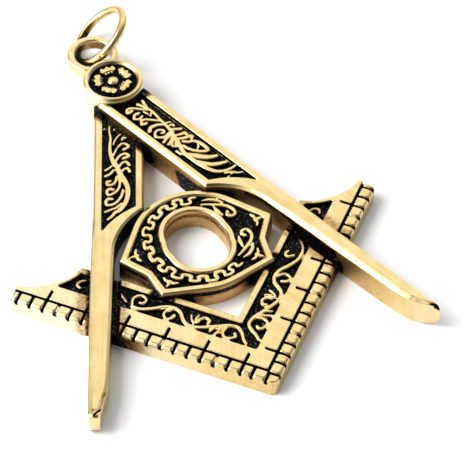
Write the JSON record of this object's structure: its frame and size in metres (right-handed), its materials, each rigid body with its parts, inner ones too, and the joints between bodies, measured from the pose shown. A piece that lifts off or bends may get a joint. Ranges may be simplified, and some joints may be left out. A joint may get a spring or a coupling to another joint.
{
  "type": "masonic pendant",
  "caption": "Cast square-and-compasses pendant with a rose hub, a pierced roundel in the middle, ruler teeth along the square's edge and a loose jump ring in its eye.",
  "frame": {"origin": "on the flat back of the casting, under the centre of the round hub", "axes": "+Y up the axis from the square's corner to the eye, +X to the viewer's right, +Z out of the face"},
  "size_m": [0.0422, 0.0576, 0.0061],
  "materials": {
    "cast_gold": "polished gold-coloured casting with blackened recesses",
    "wire_gold": "polished gold-coloured wire"
  },
  "bodies": {
    "root": {"pendant_casting": "cast_gold", "jump_ring": "wire_gold"}
  },
  "joints": []
}
